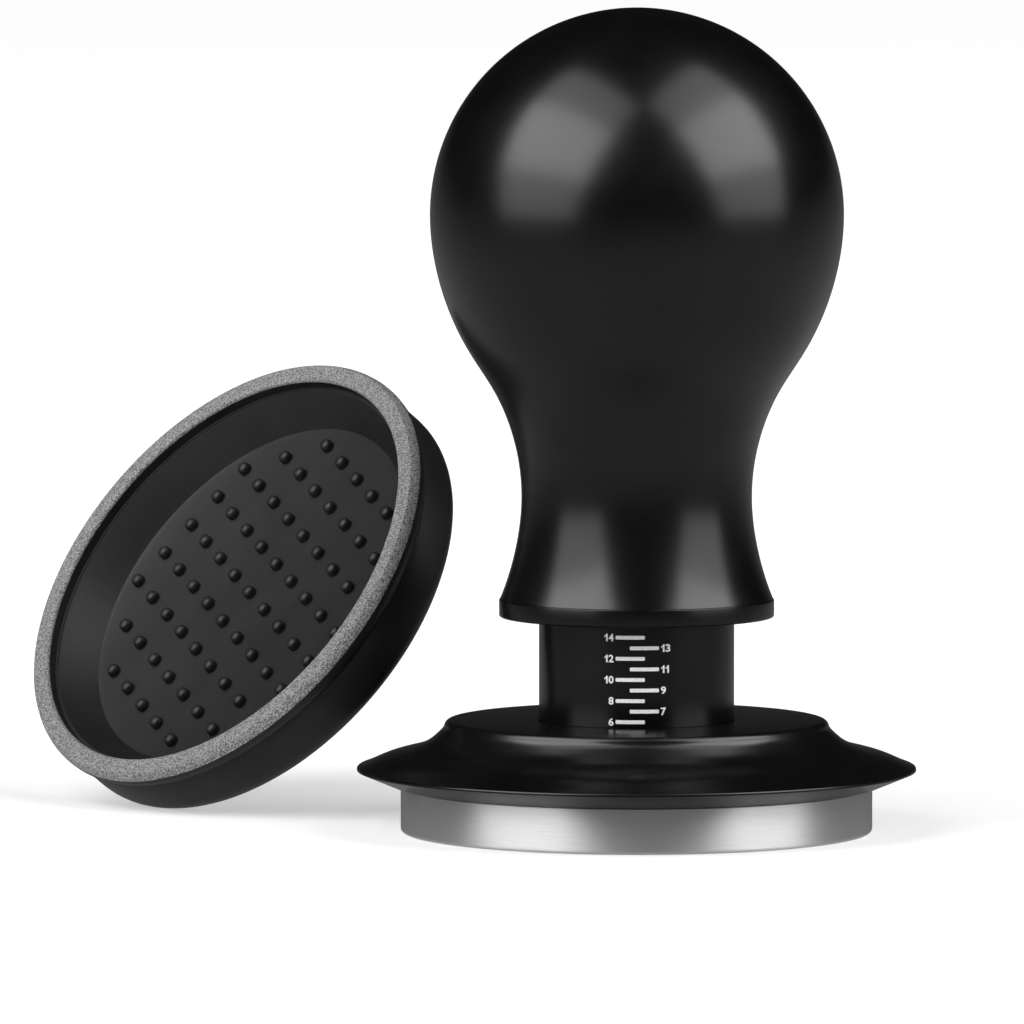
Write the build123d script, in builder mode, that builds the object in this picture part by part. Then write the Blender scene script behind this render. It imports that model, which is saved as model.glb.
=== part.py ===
from build123d import *
import math
import os

os.makedirs("parts", exist_ok=True)

# Espresso tamper, millimetres, +Z up. The origin is the centre of the steel
# base's working face, and every turned piece shares the Z axis.

# Steel base
BASE_R = 29.175
BASE_TOP = 8.0
BASE_LAND_TOP = 5.6
BASE_RELIEF_R = 28.5
CUP_R = 26.5
CUP_FLOOR = 2.4
POST_R = 6.5
POST_TOP = 10.0
TAPPING_FLOOR = 2.0
WORKING_EDGE_R = 0.5

# Centre shaft, threaded M8 below and M6 above
SHAFT_END = 2.4
SHAFT_CHAMFER = 0.5
SHAFT_FOOT = 10.8
SHAFT_SHOULDER = 29.6
M8_R = 4.0
TAPPING_R = 4.02
M6_R = 3.0
SPIGOT_TOP = 38.4
NUT_HALF_FLATS = 5.0
NUT_HEIGHT = 5.0

# Scale sleeve: the printed column, closed by a shouldered disc
SLEEVE_R = 12.07
SLEEVE_BORE_R = 10.6
SLEEVE_BOTTOM = 12.6
SHOULDER_R = 13.2
SHOULDER_TOP = 31.6

# Levelling flange
LIP_R = 34.6
LIP_Z = 7.6
LIP_THICKNESS = 0.6
SKIRT_R = 30.2
SKIRT_Z = 5.8
RECESS_R = 29.5
RECESS_TOP = 8.4
CROWN_R = 23.0
CROWN_Z = 13.8
CROWN_UNDER = 12.3
INNER_R = 20.0
WIPER_R = 13.4
WIPER_TOP = 13.1

# Carrier basket that hangs in the base's cup, and its bush
CARRIER_LIP_R = 24.6
CARRIER_LIP_Z = 7.2
CARRIER_R = 19.2
CARRIER_WALL = 1.2
WEB_Z = 2.7
WEB_TOP = 3.7
HUB_R = 9.2
HUB_BORE_R = 7.65
BUSH_R = 7.6
BUSH_BORE_R = 6.55
BUSH_TOP = 9.6
SCREW_CIRCLE_R = 22.0
SCREW_R = 1.25
SCREW_HEAD_R = 2.3
SCREW_HEAD_DEPTH = 1.0
SCREW_KEY_DEPTH = 0.9
SCREW_TOP = 12.0
SCREW_KEY_R = 0.8
SPANNER_CIRCLE_R = 13.6
SPANNER_R = 1.6

# Handle: a ball on a waisted neck, over a screwed-in collar
BALL_R = 25.53
BALL_Z = 76.3
NECK_R = 14.24
NECK_Z = 41.5
HEM_R = 17.05
HEM_Z = 28.8
THREAD_R = 14.6
THREAD_TOP = 32.0
TRAVEL_BORE_R = 13.5
TRAVEL_BORE_TOP = 36.2
SPRING_BORE_R = 10.6
SPRING_BORE_TOP = 78.3
DRILL_POINT_R = 3.0
DRILL_POINT_DEPTH = 1.7
BORE_TAPER = 1.8
COLLAR_R = 17.0
COLLAR_Z = 26.6
COLLAR_BORE_R = 12.2
COLLAR_FOOT_CHAMFER = 0.25
COLLAR_TOP_CHAMFER = 0.12
GUIDE_GROOVE_R = 13.3
GUIDE_Z = 27.2
GUIDE_TOP = 28.2

# Springs
MAIN_COIL_R = 8.3
MAIN_WIRE_R = 1.2
MAIN_Z0 = 32.6
MAIN_Z1 = 76.0
MAIN_TURNS = 10
LEVEL_COIL_R = 8.4
LEVEL_WIRE_R = 0.5
LEVEL_TURNS = 7
LOWER_SEAT_R = 9.9
UPPER_SEAT_R = 10.3
UPPER_SEAT_THICKNESS = 1.4
UPPER_SEAT_BOSS = 3.5

# Silicone cover, standing on its edge beside the flange, its mouth up and outwards
COVER_MOUTH_R = 28.3
COVER_LEDGE_R = 27.8
COVER_FLOOR_R = 25.3
COVER_DEPTH = 6.2
COVER_LEDGE = 1.8
COVER_BEAD_R = 31.1
COVER_BEAD_BULGE = 0.6
COVER_BEAD_HEIGHT = 3.0
COVER_WAIST_Z = -5.2
COVER_MOUTH_CHAMFER = 0.3
COVER_FLOOR_CHAMFER = 0.8
COVER_BODY_R = 30.6
COVER_HEIGHT = 10.6
COVER_CORNER_R = 3.0
COVER_LEAN = 35.5
COVER_FACING = 221.5
COVER_X = -52.3
COVER_Y = 34.3
STUD_PITCH = 4.95
STUD_R = 0.84
STUD_HEIGHT = 1.1
STUD_GRID_TURN = -27
STUD_REACH = 4
STUD_CORNER = 6


def ring(inner_r, outer_r, z0, z1):
    """Half section of a plain ring in the XZ plane."""
    with Locations(((inner_r + outer_r) / 2, (z0 + z1) / 2)):
        Rectangle(outer_r - inner_r, z1 - z0)


# Steel base: a shallow cup with a tapped centre post
with BuildPart() as tamper_base:
    with BuildSketch(Plane.XZ):
        with BuildLine():
            Polyline(
                (0, 0), (BASE_R, 0), (BASE_R, BASE_LAND_TOP), (BASE_RELIEF_R, BASE_LAND_TOP),
                (BASE_RELIEF_R, BASE_TOP), (CUP_R, BASE_TOP), (CUP_R, CUP_FLOOR),
                (POST_R, CUP_FLOOR), (POST_R, POST_TOP), (TAPPING_R, POST_TOP), (TAPPING_R, TAPPING_FLOOR),
                (0, TAPPING_FLOOR), close=True,
            )
        make_face()
    revolve(axis=Axis.Z)
    working_edge = tamper_base.edges().filter_by(GeomType.CIRCLE).group_by(Axis.Z)[0]
    fillet(working_edge, WORKING_EDGE_R)

# Centre shaft
with BuildPart() as centre_shaft:
    with BuildSketch(Plane.XZ):
        with BuildLine():
            Polyline(
                (0, SHAFT_END), (M8_R - SHAFT_CHAMFER, SHAFT_END), (M8_R, SHAFT_END + SHAFT_CHAMFER),
                (M8_R, SHAFT_FOOT), (POST_R, SHAFT_FOOT), (POST_R, SHAFT_SHOULDER),
                (M6_R, SHAFT_SHOULDER), (M6_R, SPIGOT_TOP - SHAFT_CHAMFER),
                (M6_R - SHAFT_CHAMFER, SPIGOT_TOP), (0, SPIGOT_TOP), close=True,
            )
        make_face()
    revolve(axis=Axis.Z)

# Lock washer between the post and the shaft
with BuildPart() as lock_washer:
    with BuildSketch(Plane.XZ):
        ring(M8_R, POST_R - 0.1, POST_TOP, SHAFT_FOOT)
    revolve(axis=Axis.Z)

# Scale sleeve
with BuildPart() as scale_sleeve:
    with BuildSketch(Plane.XZ):
        with BuildLine():
            Polyline(
                (SLEEVE_BORE_R, SLEEVE_BOTTOM), (SLEEVE_R, SLEEVE_BOTTOM), (SLEEVE_R, SHAFT_SHOULDER),
                (SHOULDER_R, SHAFT_SHOULDER), (SHOULDER_R, SHOULDER_TOP), (M6_R + 0.1, SHOULDER_TOP),
                (M6_R + 0.1, SHAFT_SHOULDER), (SLEEVE_BORE_R, SHAFT_SHOULDER), close=True,
            )
        make_face()
    revolve(axis=Axis.Z)

# Rubber ring that the collar comes up against
with BuildPart() as stop_bumper:
    with BuildSketch(Plane.XZ):
        ring(SLEEVE_R, SHOULDER_R - 0.1, HEM_Z + 0.1, SHAFT_SHOULDER)
    revolve(axis=Axis.Z)

# Seat under the handle's spring, clamped by the nut
with BuildPart() as lower_spring_seat:
    with BuildSketch(Plane.XZ):
        ring(M6_R + 0.1, LOWER_SEAT_R, SHOULDER_TOP, MAIN_Z0)
    revolve(axis=Axis.Z)

with BuildPart() as sleeve_nut:
    with BuildSketch(Plane.XY.offset(MAIN_Z0)):
        RegularPolygon(radius=NUT_HALF_FLATS, side_count=6, major_radius=False)
        Circle(M6_R, mode=Mode.SUBTRACT)
    extrude(amount=NUT_HEIGHT)

# Handle spring
with BuildPart() as main_spring:
    with BuildLine():
        main_coil = Helix(
            pitch=(MAIN_Z1 - MAIN_Z0 - 2 * MAIN_WIRE_R) / MAIN_TURNS,
            height=MAIN_Z1 - MAIN_Z0 - 2 * MAIN_WIRE_R,
            radius=MAIN_COIL_R,
            center=(0, 0, MAIN_Z0 + MAIN_WIRE_R),
        )
    with BuildSketch(Plane(origin=main_coil @ 0, z_dir=main_coil % 0)):
        Circle(MAIN_WIRE_R)
    sweep(path=main_coil, is_frenet=True)

# Levelling spring
with BuildPart() as leveling_spring:
    with BuildLine():
        level_coil = Helix(
            pitch=(SHAFT_SHOULDER - BUSH_TOP - 2 * LEVEL_WIRE_R) / LEVEL_TURNS,
            height=SHAFT_SHOULDER - BUSH_TOP - 2 * LEVEL_WIRE_R,
            radius=LEVEL_COIL_R,
            center=(0, 0, BUSH_TOP + LEVEL_WIRE_R),
        )
    with BuildSketch(Plane(origin=level_coil @ 0, z_dir=level_coil % 0)):
        Circle(LEVEL_WIRE_R)
    sweep(path=level_coil, is_frenet=True)

# Bronze bush that slides on the post and shaft, with its washer
with BuildPart() as guide_bush:
    with BuildSketch(Plane.XZ):
        ring(BUSH_BORE_R, BUSH_R, WEB_Z + 0.2, BUSH_TOP)
        ring(BUSH_R, HUB_R + 0.1, BUSH_TOP - 0.5, BUSH_TOP)
    revolve(axis=Axis.Z)

with BuildPart() as bush_washer:
    with BuildSketch(Plane.XZ):
        ring(BUSH_R, HUB_R, RECESS_TOP + 0.05, BUSH_TOP - 0.5)
    revolve(axis=Axis.Z)

# Levelling flange: hat with a thin lip and a bevel below it
with BuildPart() as leveling_flange:
    with BuildSketch(Plane.XZ):
        with BuildLine():
            Polyline(
                (LIP_R, LIP_Z + LIP_THICKNESS), (LIP_R, LIP_Z), (SKIRT_R, SKIRT_Z),
                (RECESS_R, SKIRT_Z), (RECESS_R, RECESS_TOP), (INNER_R, RECESS_TOP),
                (INNER_R, CROWN_UNDER), (WIPER_R, CROWN_UNDER), (WIPER_R, WIPER_TOP),
                (SLEEVE_R + 0.13, WIPER_TOP), (SLEEVE_R + 0.13, CROWN_Z), (CROWN_R, CROWN_Z),
            )
            Spline(
                (CROWN_R, CROWN_Z), (23.8, 13.15), tangents=((1, 0), (0.45, -1)),
            )
            Spline(
                (23.8, 13.15), (25.75, 11.15), (28.3, 10.1), (31.3, 9.28),
                (LIP_R, LIP_Z + LIP_THICKNESS), tangents=((0.45, -1), (1, -0.33)),
            )
        make_face()
    revolve(axis=Axis.Z)
    with BuildSketch(Plane.XY.offset(RECESS_TOP)):
        with PolarLocations(SCREW_CIRCLE_R, 4, start_angle=45):
            Circle(SCREW_R)
    extrude(amount=SCREW_TOP - RECESS_TOP, mode=Mode.SUBTRACT)

# Wiper ring in the flange's bore, against the sleeve
with BuildPart() as wiper_ring:
    with BuildSketch(Plane.XZ):
        ring(SLEEVE_R + 0.06, WIPER_R, CROWN_UNDER, WIPER_TOP)
    revolve(axis=Axis.Z)

# Carrier basket
with BuildPart() as leveler_carrier:
    with BuildSketch(Plane.XZ):
        ring(CARRIER_R - CARRIER_WALL, CARRIER_LIP_R, CARRIER_LIP_Z, RECESS_TOP)
        ring(CARRIER_R - CARRIER_WALL, CARRIER_R, WEB_Z, RECESS_TOP)
        ring(HUB_BORE_R, CARRIER_R, WEB_Z, WEB_TOP)
        ring(HUB_BORE_R, HUB_R, WEB_Z, RECESS_TOP)
    revolve(axis=Axis.Z)
    with BuildSketch(Plane.XY.offset(WEB_Z)):
        with PolarLocations(SPANNER_CIRCLE_R, 3):
            Circle(SPANNER_R)
    extrude(amount=WEB_TOP - WEB_Z, mode=Mode.SUBTRACT)
    with PolarLocations(SCREW_CIRCLE_R, 4, start_angle=45):
        with Locations((0, 0, CARRIER_LIP_Z)):
            Cone(
                SCREW_HEAD_R, SCREW_R, SCREW_HEAD_DEPTH,
                align=(Align.CENTER, Align.CENTER, Align.MIN), mode=Mode.SUBTRACT,
            )
            Cylinder(
                SCREW_R, RECESS_TOP - CARRIER_LIP_Z,
                align=(Align.CENTER, Align.CENTER, Align.MIN), mode=Mode.SUBTRACT,
            )

# Four countersunk screws that hold the carrier to the flange
with BuildPart() as carrier_screws:
    with PolarLocations(SCREW_CIRCLE_R, 4, start_angle=45):
        with Locations((0, 0, CARRIER_LIP_Z)):
            Cone(SCREW_HEAD_R, SCREW_R, SCREW_HEAD_DEPTH, align=(Align.CENTER, Align.CENTER, Align.MIN))
            Cylinder(
                SCREW_R, SCREW_TOP - CARRIER_LIP_Z,
                align=(Align.CENTER, Align.CENTER, Align.MIN),
            )
    with BuildSketch(Plane.XY.offset(CARRIER_LIP_Z)):
        with PolarLocations(SCREW_CIRCLE_R, 4, start_angle=45):
            RegularPolygon(radius=SCREW_KEY_R, side_count=6, major_radius=False)
    extrude(amount=SCREW_KEY_DEPTH, mode=Mode.SUBTRACT)

# Handle
with BuildPart() as handle_ball:
    with BuildSketch(Plane.XZ):
        with BuildLine():
            ThreePointArc(
                (0, BALL_Z + BALL_R),
                (BALL_R * math.sin(math.radians(45)), BALL_Z + BALL_R * math.cos(math.radians(45))),
                (BALL_R, BALL_Z),
            )
            Spline(
                (BALL_R, BALL_Z), (24.03, 66.77), (20.71, 59.37), (17.59, 54.44),
                (15.48, 49.51), (NECK_R, NECK_Z), (15.04, 34.71), (HEM_R, HEM_Z),
                tangents=((0, -1), (0.42, -1)),
            )
            Polyline(
                (HEM_R, HEM_Z), (THREAD_R, HEM_Z), (THREAD_R, THREAD_TOP), (TRAVEL_BORE_R, THREAD_TOP),
                (TRAVEL_BORE_R, TRAVEL_BORE_TOP), (SPRING_BORE_R, TRAVEL_BORE_TOP + BORE_TAPER),
                (SPRING_BORE_R, SPRING_BORE_TOP), (DRILL_POINT_R, SPRING_BORE_TOP),
                (0, SPRING_BORE_TOP + DRILL_POINT_DEPTH),
                (0, BALL_Z + BALL_R),
            )
        make_face()
    revolve(axis=Axis.Z)

# Collar screwed into the handle, and the guide ring in its bore
with BuildPart() as retaining_collar:
    with BuildSketch(Plane.XZ):
        with BuildLine():
            Polyline(
                (COLLAR_BORE_R, COLLAR_Z), (COLLAR_R - COLLAR_FOOT_CHAMFER, COLLAR_Z),
                (COLLAR_R, COLLAR_Z + COLLAR_FOOT_CHAMFER), (COLLAR_R, HEM_Z - COLLAR_TOP_CHAMFER),
                (COLLAR_R - COLLAR_TOP_CHAMFER, HEM_Z), (THREAD_R, HEM_Z),
                (THREAD_R, THREAD_TOP), (TRAVEL_BORE_R, THREAD_TOP), (TRAVEL_BORE_R, HEM_Z),
                (COLLAR_BORE_R, HEM_Z), (COLLAR_BORE_R, GUIDE_TOP), (GUIDE_GROOVE_R, GUIDE_TOP),
                (GUIDE_GROOVE_R, GUIDE_Z), (COLLAR_BORE_R, GUIDE_Z), close=True,
            )
        make_face()
    revolve(axis=Axis.Z)

with BuildPart() as collar_guide_ring:
    with BuildSketch(Plane.XZ):
        ring(SLEEVE_R + 0.05, GUIDE_GROOVE_R, GUIDE_Z, GUIDE_TOP)
    revolve(axis=Axis.Z)

# Upper spring seat and the washer the handle turns on
with BuildPart() as upper_spring_seat:
    with BuildSketch(Plane.XZ):
        ring(0, UPPER_SEAT_R, MAIN_Z1, MAIN_Z1 + UPPER_SEAT_THICKNESS)
        ring(0, MAIN_COIL_R - MAIN_WIRE_R - 0.2, MAIN_Z1 - UPPER_SEAT_BOSS, MAIN_Z1)
    revolve(axis=Axis.Z)

with BuildPart() as handle_washer:
    with BuildSketch(Plane.XZ):
        ring(M6_R, UPPER_SEAT_R, MAIN_Z1 + UPPER_SEAT_THICKNESS, SPRING_BORE_TOP - 0.1)
    revolve(axis=Axis.Z)

# Silicone cover: a shallow studded cup, tilted on its rim
lean = math.radians(COVER_LEAN)
facing = math.radians(COVER_FACING)
mouth_dir = Vector(
    math.cos(lean) * math.cos(facing), math.cos(lean) * math.sin(facing), math.sin(lean)
)
cover_z = (
    (COVER_HEIGHT - COVER_CORNER_R) * math.sin(lean)
    + (COVER_BODY_R - COVER_CORNER_R) * math.cos(lean)
    + COVER_CORNER_R
)
cover_centre = Vector(COVER_X, COVER_Y, cover_z)
level_dir = Vector(-math.sin(facing), math.cos(facing), 0)
grid_turn = math.radians(STUD_GRID_TURN)
grid_dir = level_dir * math.cos(grid_turn) + mouth_dir.cross(level_dir) * math.sin(grid_turn)
mouth = Plane(origin=cover_centre, x_dir=grid_dir, z_dir=mouth_dir)
section = Plane(origin=cover_centre, x_dir=mouth.x_dir, z_dir=-mouth.y_dir)

with BuildPart() as silicone_cover:
    with BuildSketch(section):
        with BuildLine():
            Polyline(
                (0, -COVER_HEIGHT), (0, -COVER_DEPTH), (COVER_FLOOR_R - COVER_FLOOR_CHAMFER, -COVER_DEPTH),
                (COVER_FLOOR_R, -COVER_DEPTH + COVER_FLOOR_CHAMFER), (COVER_LEDGE_R, -COVER_LEDGE),
                (COVER_MOUTH_R, -COVER_LEDGE), (COVER_MOUTH_R, -COVER_MOUTH_CHAMFER),
                (COVER_MOUTH_R + COVER_MOUTH_CHAMFER, 0), (COVER_BEAD_R - COVER_BEAD_BULGE, 0),
            )
            ThreePointArc(
                (COVER_BEAD_R - COVER_BEAD_BULGE, 0), (COVER_BEAD_R, -COVER_BEAD_HEIGHT / 2),
                (COVER_BEAD_R - COVER_BEAD_BULGE, -COVER_BEAD_HEIGHT),
            )
            ThreePointArc(
                (COVER_BEAD_R - COVER_BEAD_BULGE, -COVER_BEAD_HEIGHT), (COVER_BODY_R - 0.05, COVER_WAIST_Z),
                (COVER_BODY_R, -COVER_HEIGHT + COVER_CORNER_R),
            )
            RadiusArc(
                (COVER_BODY_R, -COVER_HEIGHT + COVER_CORNER_R),
                (COVER_BODY_R - COVER_CORNER_R, -COVER_HEIGHT), COVER_CORNER_R,
            )
            Line((COVER_BODY_R - COVER_CORNER_R, -COVER_HEIGHT), (0, -COVER_HEIGHT))
        make_face()
    revolve(axis=Axis(origin=tuple(cover_centre), direction=tuple(mouth_dir)))
    with BuildSketch(mouth.offset(-COVER_DEPTH)):
        for column in range(-STUD_REACH, STUD_REACH + 1):
            for row in range(-STUD_REACH, STUD_REACH + 1):
                if abs(column) + abs(row) <= STUD_CORNER:
                    with Locations((column * STUD_PITCH, row * STUD_PITCH)):
                        Circle(STUD_R)
    extrude(amount=STUD_HEIGHT)

tamper_base.part.label = "tamper_base"
centre_shaft.part.label = "centre_shaft"
lock_washer.part.label = "lock_washer"
scale_sleeve.part.label = "scale_sleeve"
stop_bumper.part.label = "stop_bumper"
lower_spring_seat.part.label = "lower_spring_seat"
sleeve_nut.part.label = "sleeve_nut"
main_spring.part.label = "main_spring"
leveling_spring.part.label = "leveling_spring"
guide_bush.part.label = "guide_bush"
bush_washer.part.label = "bush_washer"
leveling_flange.part.label = "leveling_flange"
wiper_ring.part.label = "wiper_ring"
leveler_carrier.part.label = "leveler_carrier"
carrier_screws.part.label = "carrier_screws"
handle_ball.part.label = "handle_ball"
retaining_collar.part.label = "retaining_collar"
collar_guide_ring.part.label = "collar_guide_ring"
upper_spring_seat.part.label = "upper_spring_seat"
handle_washer.part.label = "handle_washer"
silicone_cover.part.label = "silicone_cover"

export_step(tamper_base.part, "parts/tamper_base.step")
export_step(centre_shaft.part, "parts/centre_shaft.step")
export_step(lock_washer.part, "parts/lock_washer.step")
export_step(scale_sleeve.part, "parts/scale_sleeve.step")
export_step(stop_bumper.part, "parts/stop_bumper.step")
export_step(lower_spring_seat.part, "parts/lower_spring_seat.step")
export_step(sleeve_nut.part, "parts/sleeve_nut.step")
export_step(main_spring.part, "parts/main_spring.step")
export_step(leveling_spring.part, "parts/leveling_spring.step")
export_step(guide_bush.part, "parts/guide_bush.step")
export_step(bush_washer.part, "parts/bush_washer.step")
export_step(leveling_flange.part, "parts/leveling_flange.step")
export_step(wiper_ring.part, "parts/wiper_ring.step")
export_step(leveler_carrier.part, "parts/leveler_carrier.step")
export_step(carrier_screws.part, "parts/carrier_screws.step")
export_step(handle_ball.part, "parts/handle_ball.step")
export_step(retaining_collar.part, "parts/retaining_collar.step")
export_step(collar_guide_ring.part, "parts/collar_guide_ring.step")
export_step(upper_spring_seat.part, "parts/upper_spring_seat.step")
export_step(handle_washer.part, "parts/handle_washer.step")
export_step(silicone_cover.part, "parts/silicone_cover.step")
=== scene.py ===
import math

import bmesh
import bpy
import numpy as np
from mathutils import Matrix, Vector


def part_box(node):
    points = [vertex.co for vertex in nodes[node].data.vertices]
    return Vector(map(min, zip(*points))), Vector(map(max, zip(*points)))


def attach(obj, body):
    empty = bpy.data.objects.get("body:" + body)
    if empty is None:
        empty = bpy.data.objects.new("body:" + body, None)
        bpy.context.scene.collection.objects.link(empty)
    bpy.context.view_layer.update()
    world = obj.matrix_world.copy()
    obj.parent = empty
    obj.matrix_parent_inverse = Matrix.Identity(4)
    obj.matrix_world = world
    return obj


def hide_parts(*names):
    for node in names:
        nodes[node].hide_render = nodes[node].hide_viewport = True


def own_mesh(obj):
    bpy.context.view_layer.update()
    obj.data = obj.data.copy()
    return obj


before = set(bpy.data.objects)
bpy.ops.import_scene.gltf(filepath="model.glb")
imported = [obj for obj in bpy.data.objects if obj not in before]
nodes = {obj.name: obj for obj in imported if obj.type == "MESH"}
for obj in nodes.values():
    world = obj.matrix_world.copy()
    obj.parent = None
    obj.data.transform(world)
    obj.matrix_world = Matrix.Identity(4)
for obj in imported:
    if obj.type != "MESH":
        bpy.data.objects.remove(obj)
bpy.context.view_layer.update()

MM = 0.001
SEGMENTS = 256
CREASE = 32


# ---------------------------------------------------------------- shapes

def rounded(corners, steps=5):
    """Closed outline from (r, z, rounding) corners in millimetres, each corner an arc."""
    outline = []
    count = len(corners)
    for i, (r, z, rounding) in enumerate(corners):
        corner = Vector((r, z))
        if rounding <= 0:
            outline.append((r, z))
            continue
        before = (Vector(corners[i - 1][:2]) - corner).normalized()
        after = (Vector(corners[(i + 1) % count][:2]) - corner).normalized()
        half = before.angle(after) / 2
        reach = rounding / math.tan(half)
        centre = corner + (before + after).normalized() * (rounding / math.sin(half))
        start = corner + before * reach - centre
        end = corner + after * reach - centre
        sweep = start.angle_signed(end)
        for k in range(steps + 1):
            turned_by = Matrix.Rotation(-sweep * k / steps, 2)
            outline.append(tuple(centre + turned_by @ start))
    return outline


def flowing(points, start, end, steps=10):
    """Smooth curve through (r, z) points with the given end directions."""
    p = np.array(points, float)
    run = np.linalg.norm(np.diff(p, axis=0), axis=1)
    n = len(p)
    a = np.zeros((n, n))
    b = np.zeros((n, 2))
    a[0, 0] = a[-1, -1] = 1
    b[0] = np.array(start) / np.hypot(*start)
    b[-1] = np.array(end) / np.hypot(*end)
    for i in range(1, n - 1):
        a[i, i - 1] = run[i]
        a[i, i] = 2 * (run[i - 1] + run[i])
        a[i, i + 1] = run[i - 1]
        b[i] = 3 * (run[i] * (p[i] - p[i - 1]) / run[i - 1]
                    + run[i - 1] * (p[i + 1] - p[i]) / run[i])
    slope = np.linalg.solve(a, b)
    curve = []
    for i in range(n - 1):
        for k in range(steps):
            t = k / steps
            h = run[i]
            curve.append(tuple(
                p[i] * (1 + 2 * t) * (1 - t) ** 2 + slope[i] * h * t * (1 - t) ** 2
                + p[i + 1] * t * t * (3 - 2 * t) + slope[i + 1] * h * t * t * (t - 1)
            ))
    curve.append(tuple(p[-1]))
    return curve


def arc(centre, radius, first, last, steps):
    """Points of a circle round (r, z), angles in degrees from +r towards +z."""
    angles = [math.radians(first + (last - first) * k / steps) for k in range(steps + 1)]
    return [(centre[0] + radius * math.cos(a), centre[1] + radius * math.sin(a))
            for a in angles]


def shade(obj):
    """Smooth faces with a crease wherever two faces meet at more than CREASE degrees."""
    mesh = obj.data
    mesh.polygons.foreach_set("use_smooth", [True] * len(mesh.polygons))
    bm = bmesh.new()
    bm.from_mesh(mesh)
    limit = math.radians(CREASE)
    for edge in bm.edges:
        edge.smooth = len(edge.link_faces) == 2 and edge.calc_face_angle(0) < limit
    bm.to_mesh(mesh)
    bm.free()


def finish_mesh(name, bm, material, merge=2e-7):
    bmesh.ops.remove_doubles(bm, verts=bm.verts, dist=merge)
    bmesh.ops.recalc_face_normals(bm, faces=bm.faces)
    mesh = bpy.data.meshes.new(name)
    bm.to_mesh(mesh)
    bm.free()
    obj = bpy.data.objects.new(name, mesh)
    bpy.context.scene.collection.objects.link(obj)
    mesh.materials.append(material)
    shade(obj)
    return obj


def turned(name, outline, material):
    """Solid of revolution about Z from a closed (r, z) outline in millimetres."""
    bm = bmesh.new()
    rings = []
    for k in range(SEGMENTS):
        a = 2 * math.pi * k / SEGMENTS
        rings.append([
            bm.verts.new((r * math.cos(a) * MM, r * math.sin(a) * MM, z * MM))
            for r, z in outline
        ])
    count = len(outline)
    for k in range(SEGMENTS):
        here, there = rings[k], rings[(k + 1) % SEGMENTS]
        for i in range(count):
            j = (i + 1) % count
            on_axis = (outline[i][0] == 0, outline[j][0] == 0)
            if all(on_axis):
                continue
            if on_axis[0]:
                bm.faces.new((here[i], there[j], here[j]))
            elif on_axis[1]:
                bm.faces.new((here[i], there[i], here[j]))
            else:
                bm.faces.new((here[i], there[i], there[j], here[j]))
    return finish_mesh(name, bm, material)


def place(obj, body, slot, *replaced):
    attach(obj, body)
    if replaced:
        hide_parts(*replaced)
    return obj


# ---------------------------------------------------------------- materials

# Noise scales are in cycles a metre, bump depths in metres.
FINE_BUMP, SKIN_BUMP, GRAIN_BUMP, INK_BUMP = 0.00002, 0.00006, 0.00012, 0.00001
BLAST_SCALE, BLAST_CLOUDS = 7000, 90
GRAIN_SCALE, GRAIN_PATCHES = 4600, 260
MARKS_STRETCH = 0.03


def new_material(name):
    material = bpy.data.materials.new(name)
    material.use_nodes = True
    tree = material.node_tree
    return material, tree, tree.nodes["Principled BSDF"]


def add(tree, kind, **values):
    node = tree.nodes.new(kind)
    for key, value in values.items():
        if key in node.inputs:
            node.inputs[key].default_value = value
        else:
            setattr(node, key, value)
    return node


def noise(tree, vector, scale, detail=3.0, rough=0.55):
    node = add(tree, "ShaderNodeTexNoise", Scale=scale, Detail=detail, Roughness=rough)
    tree.links.new(vector, node.inputs["Vector"])
    return node.outputs["Fac"]


def remap(tree, value, low, high, start=0.3, stop=0.7):
    node = add(tree, "ShaderNodeMapRange")
    node.inputs["From Min"].default_value = start
    node.inputs["From Max"].default_value = stop
    node.inputs["To Min"].default_value = low
    node.inputs["To Max"].default_value = high
    tree.links.new(value, node.inputs["Value"])
    return node.outputs["Result"]


def two_colours(tree, value, first, second, start=0.35, stop=0.65):
    ramp = add(tree, "ShaderNodeValToRGB")
    ramp.color_ramp.elements[0].position = start
    ramp.color_ramp.elements[1].position = stop
    ramp.color_ramp.elements[0].color = (*first, 1)
    ramp.color_ramp.elements[1].color = (*second, 1)
    tree.links.new(value, ramp.inputs["Fac"])
    return ramp.outputs["Color"]


def bump(tree, height, strength, distance):
    node = add(tree, "ShaderNodeBump", Strength=strength, Distance=distance)
    tree.links.new(height, node.inputs["Height"])
    return node.outputs["Normal"]


def object_space(tree):
    return add(tree, "ShaderNodeTexCoord").outputs["Object"]


def lathe_space(tree):
    """Coordinates that run fast across the tool marks of a turned face and slowly along them."""
    split = add(tree, "ShaderNodeSeparateXYZ")
    tree.links.new(object_space(tree), split.inputs["Vector"])
    flat = add(tree, "ShaderNodeCombineXYZ")
    tree.links.new(split.outputs["X"], flat.inputs["X"])
    tree.links.new(split.outputs["Y"], flat.inputs["Y"])
    length = add(tree, "ShaderNodeVectorMath", operation="LENGTH")
    tree.links.new(flat.outputs["Vector"], length.inputs[0])
    across = add(tree, "ShaderNodeMath", operation="ADD")
    tree.links.new(length.outputs["Value"], across.inputs[0])
    tree.links.new(split.outputs["Z"], across.inputs[1])
    slow = add(tree, "ShaderNodeVectorMath", operation="SCALE")
    slow.inputs["Scale"].default_value = MARKS_STRETCH
    tree.links.new(flat.outputs["Vector"], slow.inputs[0])
    parts = add(tree, "ShaderNodeSeparateXYZ")
    tree.links.new(slow.outputs["Vector"], parts.inputs["Vector"])
    joined = add(tree, "ShaderNodeCombineXYZ")
    tree.links.new(parts.outputs["X"], joined.inputs["X"])
    tree.links.new(parts.outputs["Y"], joined.inputs["Y"])
    tree.links.new(across.outputs["Value"], joined.inputs["Z"])
    return joined.outputs["Vector"]


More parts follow.
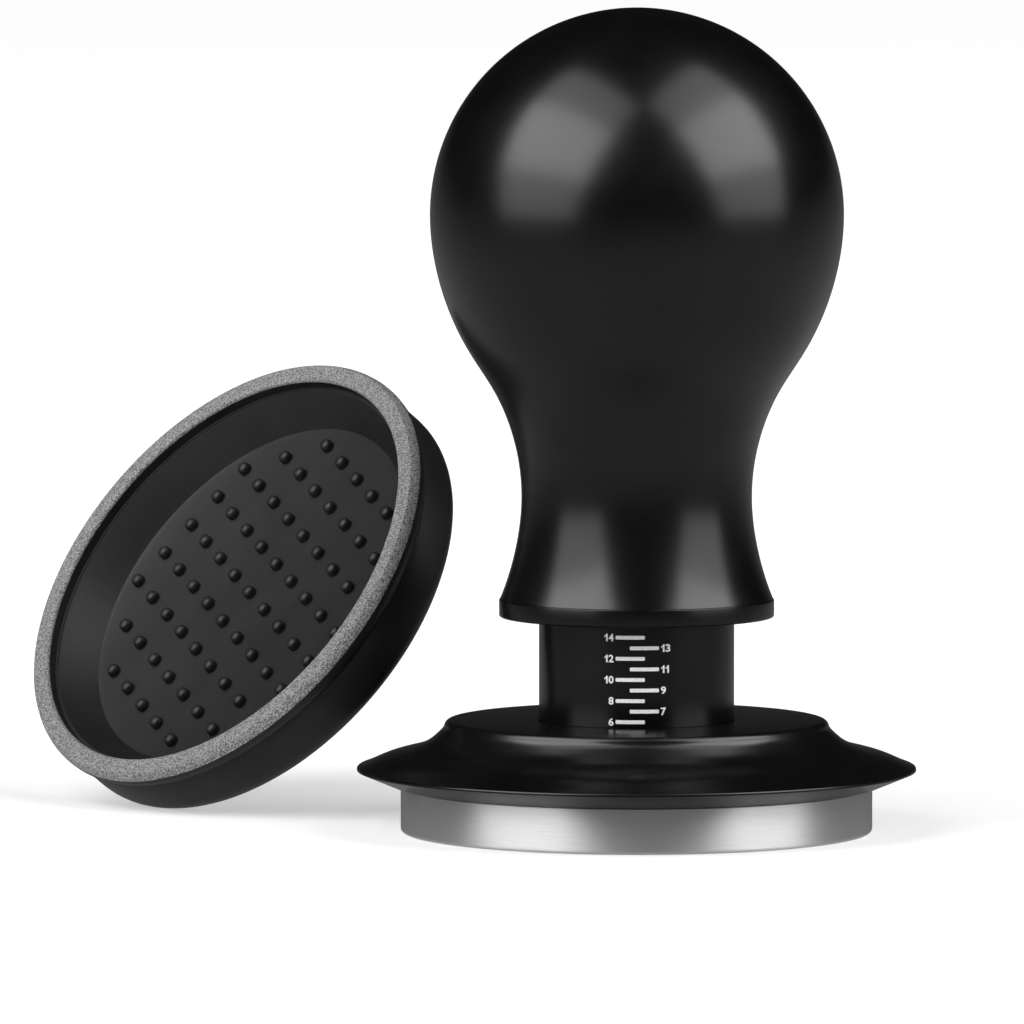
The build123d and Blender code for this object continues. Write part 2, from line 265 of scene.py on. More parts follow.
def black_anodised(name, specular):
    """Bead-blasted, black anodised aluminium: fine even grain and slightly uneven sheen."""
    material, tree, shader = new_material(name)
    space = object_space(tree)
    cloud = noise(tree, space, BLAST_CLOUDS, 4)
    grain = noise(tree, space, BLAST_SCALE, 2)
    shader.inputs["Specular IOR Level"].default_value = specular
    tree.links.new(two_colours(tree, cloud, (0.0014, 0.0014, 0.0015), (0.0026, 0.0026, 0.0027)),
                   shader.inputs["Base Color"])
    tree.links.new(remap(tree, cloud, 0.23, 0.27), shader.inputs["Roughness"])
    tree.links.new(bump(tree, grain, 0.10, FINE_BUMP), shader.inputs["Normal"])
    return material


def turned_metal(name, dark, light, rough, marks, depth, anisotropic=0.0):
    """Machined metal with fine tool marks round the axis."""
    material, tree, shader = new_material(name)
    space = lathe_space(tree)
    fine = noise(tree, space, marks, 4, 0.6)
    broad = noise(tree, object_space(tree), 120, 3)
    shader.inputs["Metallic"].default_value = 1.0
    shader.inputs["Anisotropic"].default_value = anisotropic
    tree.links.new(two_colours(tree, fine, dark, light, 0.25, 0.75), shader.inputs["Base Color"])
    spread = add(tree, "ShaderNodeMath", operation="ADD")
    tree.links.new(remap(tree, fine, rough - 0.04, rough + 0.05), spread.inputs[0])
    tree.links.new(remap(tree, broad, -0.02, 0.03), spread.inputs[1])
    tree.links.new(spread.outputs["Value"], shader.inputs["Roughness"])
    tree.links.new(bump(tree, fine, depth, FINE_BUMP), shader.inputs["Normal"])
    if anisotropic:
        shader.inputs["Anisotropic Rotation"].default_value = 0.25
        tangent = add(tree, "ShaderNodeTangent", direction_type="RADIAL", axis="Z")
        tree.links.new(tangent.outputs["Tangent"], shader.inputs["Tangent"])
    return material


def soft_matte(name, first, second, rough, grain_scale, grain_depth, specular=0.4):
    """Moulded rubber, silicone or plastic with a fine grained skin."""
    material, tree, shader = new_material(name)
    space = object_space(tree)
    cloud = noise(tree, space, 160, 4)
    grain = noise(tree, space, grain_scale, 3, 0.65)
    shader.inputs["Specular IOR Level"].default_value = specular
    tree.links.new(two_colours(tree, cloud, first, second), shader.inputs["Base Color"])
    tree.links.new(remap(tree, grain, rough - 0.06, rough + 0.06), shader.inputs["Roughness"])
    tree.links.new(bump(tree, grain, grain_depth, SKIN_BUMP), shader.inputs["Normal"])
    return material


def grained_rim():
    """The cover's rim face: a coarse sparkle of raised grains."""
    material, tree, shader = new_material("silicone_rim")
    space = object_space(tree)
    grains = noise(tree, space, GRAIN_SCALE, 3, 0.7)
    patches = noise(tree, space, GRAIN_PATCHES, 3)
    shader.inputs["Specular IOR Level"].default_value = 0.5
    tree.links.new(
        two_colours(tree, grains, (0.060, 0.060, 0.062), (0.340, 0.340, 0.345), 0.42, 0.60),
        shader.inputs["Base Color"])
    tree.links.new(remap(tree, patches, 0.46, 0.60), shader.inputs["Roughness"])
    tree.links.new(bump(tree, grains, 0.55, GRAIN_BUMP), shader.inputs["Normal"])
    return material


def print_white():
    """Pad-printed white ink, a little uneven."""
    material, tree, shader = new_material("print_white")
    cover = noise(tree, object_space(tree), 3500, 3)
    tree.links.new(two_colours(tree, cover, (0.72, 0.72, 0.72), (0.86, 0.86, 0.86)),
                   shader.inputs["Base Color"])
    tree.links.new(remap(tree, cover, 0.42, 0.55), shader.inputs["Roughness"])
    tree.links.new(bump(tree, cover, 0.1, INK_BUMP), shader.inputs["Normal"])
    return material


BLACK = black_anodised("black_anodised", 0.5)
# A copy of the black finish with a weaker sheen, used only on the flange's underside as painted
# shade.
SHADED_UNDERSIDE_BLACK = black_anodised("shaded_underside_black_anodised", 0.14)
STEEL = turned_metal("base_steel", (0.86, 0.86, 0.865), (0.95, 0.95, 0.95), 0.44, 7000, 0.03,
                     anisotropic=0.85)
SHAFT = turned_metal("shaft_steel", (0.45, 0.46, 0.47), (0.62, 0.63, 0.64), 0.24, 5000, 0.12)
SPRING = turned_metal("spring_steel", (0.22, 0.22, 0.23), (0.38, 0.38, 0.39), 0.32, 6000, 0.10)
ALUMINIUM = turned_metal("plain_aluminium", (0.58, 0.59, 0.60), (0.78, 0.79, 0.80),
                         0.30, 4200, 0.16)
BRONZE = turned_metal("bush_bronze", (0.40, 0.25, 0.11), (0.62, 0.43, 0.21), 0.36, 4200, 0.14)
PTFE = soft_matte("white_ptfe", (0.74, 0.74, 0.72), (0.86, 0.86, 0.84), 0.45, 3000, 0.10)
RUBBER = soft_matte("black_rubber", (0.012, 0.012, 0.012), (0.022, 0.022, 0.022),
                    0.62, 2500, 0.20)
SILICONE = soft_matte("black_silicone", (0.0065, 0.0065, 0.0068), (0.0105, 0.0105, 0.0108),
                      0.46, 4200, 0.10, specular=0.45)
RIM = grained_rim()
INK = print_white()

# The sealed inner pieces keep their CAD shapes and only take a material.
for node, material in {
    "centre_shaft": SHAFT, "lock_washer": SPRING, "lower_spring_seat": SHAFT, "sleeve_nut": SHAFT,
    "stop_bumper": RUBBER, "guide_bush": BRONZE, "bush_washer": PTFE, "wiper_ring": PTFE,
    "leveler_carrier": ALUMINIUM, "carrier_screws": SHAFT, "upper_spring_seat": SHAFT,
    "handle_washer": PTFE, "collar_guide_ring": PTFE,
}.items():
    mesh = nodes[node].data
    for index in range(max(1, len(mesh.materials))):
        if index < len(mesh.materials):
            mesh.materials[index] = material
        else:
            mesh.materials.append(material)


# ---------------------------------------------------------------- handle

low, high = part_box("handle_ball")
BALL_R = high.x / MM
BALL_TOP = high.z / MM
BALL_Z = BALL_TOP - BALL_R
HEM_Z = low.z / MM
HEM_R = 16.88
NECK_R, NECK_Z = 14.24, 41.5
THREAD_R, THREAD_TOP = 14.6, 32.0
TRAVEL_R, TRAVEL_TOP = 13.5, 36.2
SPRING_BORE_R, SPRING_BORE_TOP = 10.6, 78.3
BORE_TAPER = 1.8
DRILL_POINT_R, DRILL_POINT_DEPTH = 3.0, 1.7
HEM_BEVEL_R, HEM_BEVEL_Z = 0.05, 0.03
HEM_SEAM = 0.02
DOME_STEPS = 48
UNDER_BALL = [(24.03, 66.77), (20.71, 59.37), (17.59, 54.44), (15.48, 49.51)]
ABOVE_HEM = (15.04, 34.71)

dome = arc((0, BALL_Z), BALL_R, 90, 0, DOME_STEPS)
neck = flowing(
    [(BALL_R, BALL_Z), *UNDER_BALL, (NECK_R, NECK_Z), ABOVE_HEM, (HEM_R, HEM_Z + HEM_BEVEL_Z)],
    (0, -1), (0.42, -1),
)
bore = [
    (HEM_R - HEM_BEVEL_R, HEM_Z), (THREAD_R, HEM_Z), (THREAD_R, THREAD_TOP),
    (TRAVEL_R, THREAD_TOP), (TRAVEL_R, TRAVEL_TOP), (SPRING_BORE_R, TRAVEL_TOP + BORE_TAPER),
    (SPRING_BORE_R, SPRING_BORE_TOP), (DRILL_POINT_R, SPRING_BORE_TOP),
    (0, SPRING_BORE_TOP + DRILL_POINT_DEPTH),
]
outline = [(0, BALL_TOP)] + dome[1:] + neck[1:] + bore
place(turned("handle_shell", outline, BLACK), "handle", "black_anodised", "handle_ball")

COLLAR_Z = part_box("retaining_collar")[0].z / MM
COLLAR_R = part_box("retaining_collar")[1].x / MM
COLLAR_BORE_R = 12.2
GROOVE_R, GROOVE_BOTTOM, GROOVE_TOP = 13.3, 27.2, 28.2
collar = rounded([
    (COLLAR_BORE_R, COLLAR_Z, 0.15), (COLLAR_R, COLLAR_Z, 0.28),
    (COLLAR_R, HEM_Z - HEM_SEAM, 0.12), (THREAD_R, HEM_Z - HEM_SEAM, 0),
    (THREAD_R, THREAD_TOP, 0.1), (TRAVEL_R, THREAD_TOP, 0.1),
    (TRAVEL_R, HEM_Z, 0), (COLLAR_BORE_R, HEM_Z, 0.1),
    (COLLAR_BORE_R, GROOVE_TOP, 0), (GROOVE_R, GROOVE_TOP, 0),
    (GROOVE_R, GROOVE_BOTTOM, 0), (COLLAR_BORE_R, GROOVE_BOTTOM, 0),
])
place(turned("handle_collar", collar, BLACK), "handle", "black_anodised", "retaining_collar")


# ---------------------------------------------------------------- column and its scale

SLEEVE_R = 12.07
SLEEVE_BORE_R = 10.6
SLEEVE_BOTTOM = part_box("scale_sleeve")[0].z / MM
SHOULDER_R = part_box("scale_sleeve")[1].x / MM
SHOULDER_Z, SHOULDER_TOP = 29.6, 31.6
SHAFT_HOLE_R = 3.1
sleeve = rounded([
    (SLEEVE_BORE_R, SLEEVE_BOTTOM, 0.2), (SLEEVE_R, SLEEVE_BOTTOM, 0.3),
    (SLEEVE_R, SHOULDER_Z, 0), (SHOULDER_R, SHOULDER_Z, 0.2),
    (SHOULDER_R, SHOULDER_TOP, 0.3), (SHAFT_HOLE_R, SHOULDER_TOP, 0.1),
    (SHAFT_HOLE_R, SHOULDER_Z, 0), (SLEEVE_BORE_R, SHOULDER_Z, 0.4),
])
place(turned("scale_column", sleeve, BLACK), "base_assembly", "black_anodised", "scale_sleeve")

FIRST_NUMBER, MARK_COUNT = 6, 9
MARK_PITCH = 1.30
FIRST_MARK_Z = 14.59
BAR_LENGTH, BAR_HEIGHT = 3.6, 0.46
EVEN_BAR_X, ODD_BAR_X = -0.92, 0.84
BAR_ROUND = 0.1
BAR_STRIPS, BAR_CORNER_STEPS = 24, 4
NUMERAL_HEIGHT = 0.94
ONE_STROKE, ONE_RIGHT, ONE_ADVANCE = 0.22, 0.48, 0.6  # shares of NUMERAL_HEIGHT
FIGURE_BOLDNESS = 0.028
FIGURE_WIDTH = 0.64
FIGURE_GAP = 0.11
NUMERAL_GAP = 0.25
INK_PROUD = 0.018
INK_DEPTH = 0.03


def wrapped(x, z):
    """Point of the column's front, x and z in millimetres along the surface."""
    a = x / SLEEVE_R - math.pi / 2
    r = SLEEVE_R + INK_PROUD
    return (r * math.cos(a) * MM, r * math.sin(a) * MM, z * MM)


def add_outline(bm, points):
    bm.faces.new([bm.verts.new(wrapped(*p)) for p in points])


def add_bar(bm, x, z):
    """Bar with slightly rounded ends, in short strips so that it follows the column."""
    half, top = BAR_LENGTH / 2, BAR_HEIGHT / 2
    stops = np.linspace(-half + BAR_ROUND, half - BAR_ROUND, BAR_STRIPS + 1)
    for left, right in zip(stops[:-1], stops[1:]):
        add_outline(bm, [
            (x + left, z - top), (x + right, z - top), (x + right, z + top), (x + left, z + top),
        ])
    for side in (1, -1):
        inner = side * (half - BAR_ROUND)
        corner = [math.radians(90 * k / BAR_CORNER_STEPS) for k in range(BAR_CORNER_STEPS + 1)]
        upper = [
            (inner + side * BAR_ROUND * math.sin(a), top - BAR_ROUND + BAR_ROUND * math.cos(a))
            for a in corner
        ]
        ends = upper + [(px, -pz) for px, pz in reversed(upper)]
        add_outline(bm, [(x + px, z + pz) for px, pz in ends])


def one(bm, x, z):
    """The figure 1, drawn with a flag and no foot."""
    h, stroke = NUMERAL_HEIGHT / 2, NUMERAL_HEIGHT * ONE_STROKE
    right = x + NUMERAL_HEIGHT * ONE_RIGHT
    add_outline(bm, [
        (right - stroke, z - h), (right, z - h), (right, z + h), (right - stroke * 0.8, z + h),
        (right - stroke * 1.25, z + h * 0.62), (x + 0.02, z + h * 0.38), (x + 0.02, z + h * 0.04),
        (right - stroke, z + h * 0.34),
    ])
    return NUMERAL_HEIGHT * ONE_ADVANCE


def figure(bm, text, x, z):
    """One bold figure with its left edge at x; returns the distance to the next one's."""
    if text == "1":
        return one(bm, x, z)
    curve = bpy.data.curves.new("figure", "FONT")
    curve.body = text
    curve.offset = FIGURE_BOLDNESS
    curve.resolution_u = 6
    obj = bpy.data.objects.new("figure", curve)
    flat = bpy.data.meshes.new_from_object(obj)
    co = np.array([v.co[:2] for v in flat.vertices])
    co = (co - co.min(0)) / (co.max(0) - co.min(0))
    co *= np.array([FIGURE_WIDTH, NUMERAL_HEIGHT])
    verts = [bm.verts.new(wrapped(x + c[0], z - NUMERAL_HEIGHT / 2 + c[1])) for c in co]
    for polygon in flat.polygons:
        bm.faces.new([verts[i] for i in polygon.vertices])
    bpy.data.objects.remove(obj)
    bpy.data.curves.remove(curve)
    bpy.data.meshes.remove(flat)
    return FIGURE_WIDTH + FIGURE_GAP


def add_numeral(bm, text, x, z, side):
    """Figures side by side: left of x, ending there, or right of x, starting there."""
    ones = text.count("1")
    others = len(text) - ones
    width = ones * NUMERAL_HEIGHT * ONE_ADVANCE + others * (FIGURE_WIDTH + FIGURE_GAP)
    at_x = x - width + FIGURE_GAP if side == "left" else x
    for character in text:
        at_x += figure(bm, character, at_x, z)


def scale_print():
    """Bars and numerals, even ones on the left and odd ones on the right, as one thin print."""
    bm = bmesh.new()
    for step in range(MARK_COUNT):
        number = FIRST_NUMBER + step
        z = FIRST_MARK_Z + step * MARK_PITCH
        if number % 2 == 0:
            add_bar(bm, EVEN_BAR_X, z)
            edge = EVEN_BAR_X - BAR_LENGTH / 2 - NUMERAL_GAP
            add_numeral(bm, str(number), edge, z, "left")
        else:
            add_bar(bm, ODD_BAR_X, z)
            edge = ODD_BAR_X + BAR_LENGTH / 2 + NUMERAL_GAP
            add_numeral(bm, str(number), edge, z, "right")
    bmesh.ops.remove_doubles(bm, verts=bm.verts, dist=1e-8)
    for face in bm.faces:
        face.normal_update()
        centre = face.calc_center_median()
        if face.normal.dot(Vector((centre.x, centre.y, 0))) < 0:
            face.normal_flip()
    bmesh.ops.solidify(bm, geom=bm.faces[:], thickness=INK_DEPTH * MM)
    mesh = bpy.data.meshes.new("scale_print")
    bm.to_mesh(mesh)
    bm.free()
    obj = bpy.data.objects.new("scale_print", mesh)
    bpy.context.scene.collection.objects.link(obj)
    mesh.materials.append(INK)
    return obj


place(scale_print(), "base_assembly", None)


# ---------------------------------------------------------------- levelling flange

LIP_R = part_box("leveling_flange")[1].x / MM
CROWN_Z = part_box("leveling_flange")[1].z / MM
SKIRT_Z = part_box("leveling_flange")[0].z / MM
SKIRT_R, RECESS_R, RECESS_TOP = 30.2, 29.5, 8.4
CROWN_R, BROW_ROUND, BROW_END = 23.0, 0.8, 14
LIP_TOP, LIP_BOTTOM = 8.0, 7.6
LIP_ROUND, LIP_ARC_START = 0.24, 72
EDGE_STEPS = 8
SWEEP = [(24.55, 12.15), (25.75, 11.15), (28.3, 10.1), (31.3, 9.28)]
SWEEP_START, SWEEP_END = (0.25, -1), (1, -0.33)
CARRIER_BORE_R, CARRIER_BORE_TOP = 20.0, 12.3
WIPER_R, WIPER_TOP = 13.4, 13.1
COLUMN_HOLE_R, COLUMN_HOLE_BEVEL = 12.2, 0.15
brow = arc((CROWN_R, CROWN_Z - BROW_ROUND), BROW_ROUND, 90, BROW_END, EDGE_STEPS)
lip = arc((LIP_R - LIP_ROUND, LIP_TOP - LIP_ROUND), LIP_ROUND, LIP_ARC_START, 0, EDGE_STEPS)
lip.append((LIP_R, LIP_BOTTOM))
sweep = flowing([brow[-1], *SWEEP, lip[0]], SWEEP_START, SWEEP_END)
under = [
    (SKIRT_R + 0.1, SKIRT_Z + 0.02), (SKIRT_R - 0.1, SKIRT_Z), (RECESS_R + 0.1, SKIRT_Z),
    (RECESS_R, SKIRT_Z + 0.1), (RECESS_R, RECESS_TOP), (CARRIER_BORE_R, RECESS_TOP),
    (CARRIER_BORE_R, CARRIER_BORE_TOP), (WIPER_R, CARRIER_BORE_TOP), (WIPER_R, WIPER_TOP),
    (COLUMN_HOLE_R, WIPER_TOP), (COLUMN_HOLE_R, CROWN_Z - COLUMN_HOLE_BEVEL),
    (COLUMN_HOLE_R + COLUMN_HOLE_BEVEL, CROWN_Z),
]
flange = brow + sweep[1:] + lip[1:] + under
hat = turned("leveler_hat", flange, BLACK)
# Painted shade: the underside, below the lip, takes a copy of the black finish with a weaker
# sheen, standing in for the shade under the flange.
hat.data.materials.append(SHADED_UNDERSIDE_BLACK)
for polygon in hat.data.polygons:
    if polygon.center.z < LIP_BOTTOM * MM:
        polygon.material_index = 1
place(hat, "leveler", "black_anodised", "leveling_flange")


# ---------------------------------------------------------------- steel base

BASE_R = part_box("tamper_base")[1].x / MM
LAND_TOP, RELIEF_R = 5.6, 28.5
RIM_TOP, CUP_R, CUP_FLOOR = 8.0, 26.5, 2.4
BOSS_R, BOSS_TOP = 6.5, 10.0
THREAD_HOLE_R, THREAD_HOLE_FLOOR = 4.0, 2.0
base = rounded([
    (0, 0, 0), (BASE_R, 0, 0.45), (BASE_R, LAND_TOP, 0.08), (RELIEF_R, LAND_TOP, 0),
    (RELIEF_R, RIM_TOP, 0.25), (CUP_R, RIM_TOP, 0.25), (CUP_R, CUP_FLOOR, 0.5),
    (BOSS_R, CUP_FLOOR, 0.3), (BOSS_R, BOSS_TOP, 0.2), (THREAD_HOLE_R, BOSS_TOP, 0),
    (THREAD_HOLE_R, THREAD_HOLE_FLOOR, 0), (0, THREAD_HOLE_FLOOR, 0),
])
place(turned("base_disc", base, STEEL), "base_assembly", "base_steel", "tamper_base")


# ---------------------------------------------------------------- springs

DEAD_TURNS = 0.9
WIRE_SIDES, STEPS_PER_TURN = 14, 40


def coil_spring(name, radius, wire, z0, z1, turns, material):
    """Compression spring with closed ends that lie flat on their seats; wire is its radius."""
    bm = bmesh.new()
    dead, sides, per_turn = DEAD_TURNS, WIRE_SIDES, STEPS_PER_TURN
    count = int(turns * per_turn)
    pitch_free = (z1 - z0 - 2 * wire - 2 * dead * 2 * wire) / (turns - 2 * dead)
    rings = []
    for k in range(count + 1):
        t = k / per_turn
        if t < dead:
            z = z0 + wire + 2 * wire * t
        elif t > turns - dead:
            z = z1 - wire - 2 * wire * (turns - t)
        else:
            z = z0 + wire + 2 * wire * dead + pitch_free * (t - dead)
        a = 2 * math.pi * t
        centre = Vector((radius * math.cos(a), radius * math.sin(a), z))
        out = Vector((math.cos(a), math.sin(a), 0))
        rings.append([
            bm.verts.new((centre + out * wire * math.cos(b)
                          + Vector((0, 0, wire * math.sin(b)))) * MM)
            for b in (2 * math.pi * i / sides for i in range(sides))
        ])
    for here, there in zip(rings[:-1], rings[1:]):
        for i in range(sides):
            j = (i + 1) % sides
            bm.faces.new((here[i], here[j], there[j], there[i]))
    bm.faces.new(rings[0])
    bm.faces.new(list(reversed(rings[-1])))
    return finish_mesh(name, bm, material, merge=1e-8)


MAIN_RADIUS, MAIN_WIRE_R, MAIN_TURNS = 8.3, 1.19, 10.5
LEVEL_RADIUS, LEVEL_WIRE_R, LEVEL_TURNS = 8.4, 0.49, 8.5
low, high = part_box("main_spring")
main = coil_spring("handle_spring", MAIN_RADIUS, MAIN_WIRE_R, low.z / MM, high.z / MM,
                   MAIN_TURNS, SPRING)
place(main, "base_assembly", "spring_steel", "main_spring")
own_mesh(main)
low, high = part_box("leveling_spring")
level = coil_spring("flange_spring", LEVEL_RADIUS, LEVEL_WIRE_R, low.z / MM, high.z / MM,
                    LEVEL_TURNS, SPRING)
place(level, "base_assembly", "spring_steel", "leveling_spring")
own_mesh(level)


# ---------------------------------------------------------------- silicone cover

COVER_LEAN, COVER_FACING, GRID_TURN = 35.5, 221.5, -27
COVER_X, COVER_Y = -52.3, 34.3
COVER_HEIGHT, COVER_CORNER_R, COVER_BODY_R, COVER_BEAD_R = 10.6, 3.0, 30.6, 31.1
MOUTH_R, LEDGE_R, FLOOR_R, DEPTH, LEDGE = 28.3, 27.8, 25.3, 6.2, 1.8
BEAD_HEIGHT, BEAD_BULGE_R, BEAD_HALF_ANGLE = 3.0, 2.175, 43.5
WAIST_DEPTH, WAIST_IN = 3.35, 0.35
FULL_BODY_DEPTH, FULL_BODY_IN, BACK_IN = 5.4, 0.04, 0.02
EDGE_ROUND, GRAINED_DEPTH = 0.5, 1.1
STUD_PITCH, STUD_R, STUD_HEIGHT = 4.95, 0.84, 1.1
STUD_SIDES, STUD_ROOT = 20, -0.15
STUD_REACH, STUD_CORNER_CUT = 4, 6
# Each ring of a stud as shares of its radius and of its height.
STUD_DOME = [(1.0, 0.0), (1.0, 0.3), (0.98, 0.52), (0.9, 0.72), (0.74, 0.88), (0.48, 0.97),
             (0.2, 0.998)]

lean, facing = math.radians(COVER_LEAN), math.radians(COVER_FACING)
mouth_dir = Vector((math.cos(lean) * math.cos(facing), math.cos(lean) * math.sin(facing),
                    math.sin(lean)))
level_dir = Vector((-math.sin(facing), math.cos(facing), 0))
turn = math.radians(GRID_TURN)
grid_x = level_dir * math.cos(turn) + mouth_dir.cross(level_dir) * math.sin(turn)
grid_y = mouth_dir.cross(grid_x)
cover_z = ((COVER_HEIGHT - COVER_CORNER_R) * math.sin(lean)
           + (COVER_BODY_R - COVER_CORNER_R) * math.cos(lean) + COVER_CORNER_R)
cover_place = Matrix.Translation(Vector((COVER_X, COVER_Y, cover_z)) * MM) @ Matrix(
    (grid_x, grid_y, mouth_dir)).transposed().to_4x4()


def cover_cup():
    """The cup without its studs, mouth at z 0 and opening towards +Z, before it is stood up."""
    face = arc((MOUTH_R + EDGE_ROUND, -EDGE_ROUND), EDGE_ROUND, 180, 90, 6)
    bead = arc((COVER_BEAD_R - BEAD_BULGE_R, -BEAD_HEIGHT / 2), BEAD_BULGE_R,
               BEAD_HALF_ANGLE, -BEAD_HALF_ANGLE, 12)
    corner_z = -COVER_HEIGHT + COVER_CORNER_R
    body = flowing([(COVER_BODY_R - WAIST_IN, -WAIST_DEPTH),
                    (COVER_BODY_R - FULL_BODY_IN, -FULL_BODY_DEPTH),
                    (COVER_BODY_R - BACK_IN, corner_z)], (0.3, -1), (0, -1), steps=6)
    back = arc((COVER_BODY_R - COVER_CORNER_R, corner_z), COVER_CORNER_R - BACK_IN, 0, -90, 10)
    inner = [
        (0, -COVER_HEIGHT), (0, -DEPTH), (FLOOR_R - 1.2, -DEPTH), (FLOOR_R - 0.5, -DEPTH + 0.12),
        (FLOOR_R - 0.1, -DEPTH + 0.6), (LEDGE_R - 0.1, -LEDGE - 0.15), (LEDGE_R + 0.05, -LEDGE),
        (MOUTH_R - 0.1, -LEDGE), (MOUTH_R, -LEDGE + 0.1),
    ]
    cup = turned("cover_cup", face + bead + body + back[1:] + inner, SILICONE)
    cup.data.materials.append(RIM)
    for polygon in cup.data.polygons:
        r = math.hypot(polygon.center.x, polygon.center.y) / MM
        if r > MOUTH_R and polygon.center.z > -GRAINED_DEPTH * MM:
            polygon.material_index = 1
    return cup


def cover_studs():
    """Low domed studs in a square grid over the cup's floor, its corners left out."""
    bm = bmesh.new()
    sides = STUD_SIDES
    steps = range(-STUD_REACH, STUD_REACH + 1)
    for column in steps:
        for row in steps:
            if abs(column) + abs(row) > STUD_CORNER_CUT:
                continue
            x, y = column * STUD_PITCH, row * STUD_PITCH
            rings = []
            for scale, rise in [(1.0, STUD_ROOT)] + STUD_DOME:
                rings.append([
                    bm.verts.new(((x + STUD_R * scale * math.cos(2 * math.pi * i / sides)) * MM,
                                  (y + STUD_R * scale * math.sin(2 * math.pi * i / sides)) * MM,
                                  (-DEPTH + STUD_HEIGHT * rise) * MM))
                    for i in range(sides)
                ])
            top = bm.verts.new((x * MM, y * MM, (-DEPTH + STUD_HEIGHT) * MM))
            for here, there in zip(rings[:-1], rings[1:]):
                for i in range(sides):
                    j = (i + 1) % sides
                    bm.faces.new((here[i], here[j], there[j], there[i]))
            for i in range(sides):
                bm.faces.new((rings[-1][i], rings[-1][(i + 1) % sides], top))
            bm.faces.new(list(reversed(rings[0])))
    return finish_mesh("cover_studs", bm, SILICONE, merge=1e-8)


cup = cover_cup()
cup.data.transform(cover_place)
place(cup, "cover", "black_silicone", "silicone_cover")
studs = cover_studs()
studs.data.transform(cover_place)
place(studs, "cover", "black_silicone")


# ---------------------------------------------------------------- floor, light and camera

FLOOR_RADIUS = 9.0
FLOOR_GLOW_NEAR, FLOOR_GLOW_FAR = 0.45, 0.95
FLOOR_GLOW_FROM, FLOOR_GLOW_TO = 0.1, 1.2
floor_mesh = bpy.data.meshes.new("floor")
bm = bmesh.new()
bmesh.ops.create_circle(bm, cap_ends=True, segments=96, radius=FLOOR_RADIUS)
bm.to_mesh(floor_mesh)
bm.free()
floor = bpy.data.objects.new("floor", floor_mesh)
bpy.context.scene.collection.objects.link(floor)
floor_material, tree, shader = new_material("studio_floor")
shader.inputs["Roughness"].default_value = 0.9
shader.inputs["Specular IOR Level"].default_value = 0.0
shader.inputs["Emission Color"].default_value = (1, 1, 1, 1)
floor_space = object_space(tree)
floor_clouds = noise(tree, floor_space, 3, 3)
tree.links.new(two_colours(tree, floor_clouds, (0.60, 0.60, 0.60), (0.64, 0.64, 0.64)),
               shader.inputs["Base Color"])
distance = add(tree, "ShaderNodeVectorMath", operation="LENGTH")
tree.links.new(floor_space, distance.inputs[0])
glow = remap(tree, distance.outputs["Value"], FLOOR_GLOW_NEAR, FLOOR_GLOW_FAR,
             FLOOR_GLOW_FROM, FLOOR_GLOW_TO)
tree.links.new(glow, shader.inputs["Emission Strength"])
floor_mesh.materials.append(floor_material)
floor.visible_glossy = False

# A dark room whose pale table sends light back from below and from behind.
ROOM_DARK, ROOM_BOUNCE, BACK_SHARE = 0.008, 0.34, 0.04
BOUNCE_FROM, BOUNCE_TO = -0.10, 0.30
world = bpy.data.worlds.new("studio")
bpy.context.scene.world = world
world.use_nodes = True
tree = world.node_tree
background = tree.nodes["Background"]
background.inputs["Color"].default_value = (1, 1, 1, 1)
split = add(tree, "ShaderNodeSeparateXYZ")
tree.links.new(add(tree, "ShaderNodeTexCoord").outputs["Generated"], split.inputs["Vector"])
towards_back = add(tree, "ShaderNodeMath", operation="MULTIPLY")
tree.links.new(split.outputs["Y"], towards_back.inputs[0])
towards_back.inputs[1].default_value = BACK_SHARE
bounce = add(tree, "ShaderNodeMath", operation="SUBTRACT")
tree.links.new(towards_back.outputs["Value"], bounce.inputs[0])
tree.links.new(split.outputs["Z"], bounce.inputs[1])
room = remap(tree, bounce.outputs["Value"], ROOM_DARK, ROOM_BOUNCE, BOUNCE_FROM, BOUNCE_TO)
tree.links.new(room, background.inputs["Strength"])


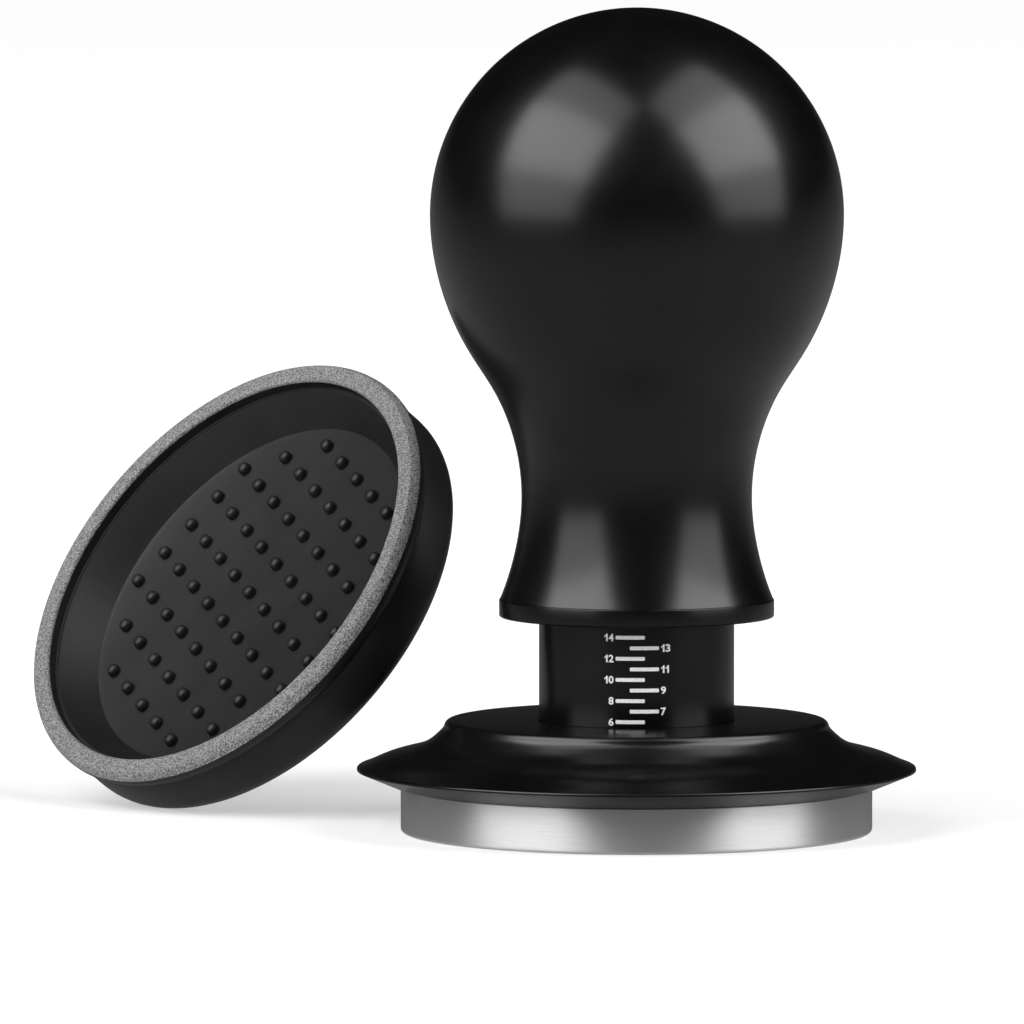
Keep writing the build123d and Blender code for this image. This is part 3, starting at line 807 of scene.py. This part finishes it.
PANEL_DISTANCE = 1.2
PANEL_AIM_Z = 0.055


def soft_box(name, azimuth, elevation, width, height, brightness):
    """Panel aimed at the handle, width and height in degrees as the handle sees it.

    Azimuth runs from the camera's side, positive to the right."""
    distance = PANEL_DISTANCE
    light = bpy.data.lights.new(name, "AREA")
    light.shape = "RECTANGLE"
    light.size = 2 * distance * math.tan(math.radians(width / 2))
    light.size_y = 2 * distance * math.tan(math.radians(height / 2))
    light.energy = brightness * math.pi * light.size * light.size_y
    obj = bpy.data.objects.new(name, light)
    bpy.context.scene.collection.objects.link(obj)
    a, e = math.radians(azimuth), math.radians(elevation)
    aim = Vector((0, 0, PANEL_AIM_Z))
    towards = Vector((math.sin(a) * math.cos(e), -math.cos(a) * math.cos(e), math.sin(e)))
    obj.location = aim + distance * towards
    obj.rotation_euler = (aim - obj.location).to_track_quat("-Z", "Y").to_euler()
    obj.visible_camera = False
    return obj


# Each side has a tall dim panel with a shorter bright one at its middle.
KEY_ELEVATION, KEY_HEIGHT, KEY_BRIGHTNESS = 39, 32, 2.7
FILL_ELEVATION, FILL_HEIGHT, FILL_BRIGHTNESS = 38, 74, 2.0
for side, azimuth, width in (("left", -58, 54), ("right", 67, 49)):
    soft_box("key_" + side, azimuth, KEY_ELEVATION, width, KEY_HEIGHT, KEY_BRIGHTNESS)
    soft_box("fill_" + side, azimuth, FILL_ELEVATION, width, FILL_HEIGHT, FILL_BRIGHTNESS)

SENSOR_WIDTH, LENS = 36, 403.6
CAMERA_PLACE, CAMERA_DIP = (-0.0154, -1.414, 0.1466), 4.33
camera_data = bpy.data.cameras.new("camera")
camera_data.sensor_width = SENSOR_WIDTH
camera_data.lens = LENS
camera = bpy.data.objects.new("camera", camera_data)
bpy.context.scene.collection.objects.link(camera)
camera.location = CAMERA_PLACE
camera.rotation_euler = (math.radians(90 - CAMERA_DIP), 0, 0)
camera_data.clip_end = 30
bpy.context.scene.camera = camera
bpy.context.scene.view_settings.view_transform = "Standard"
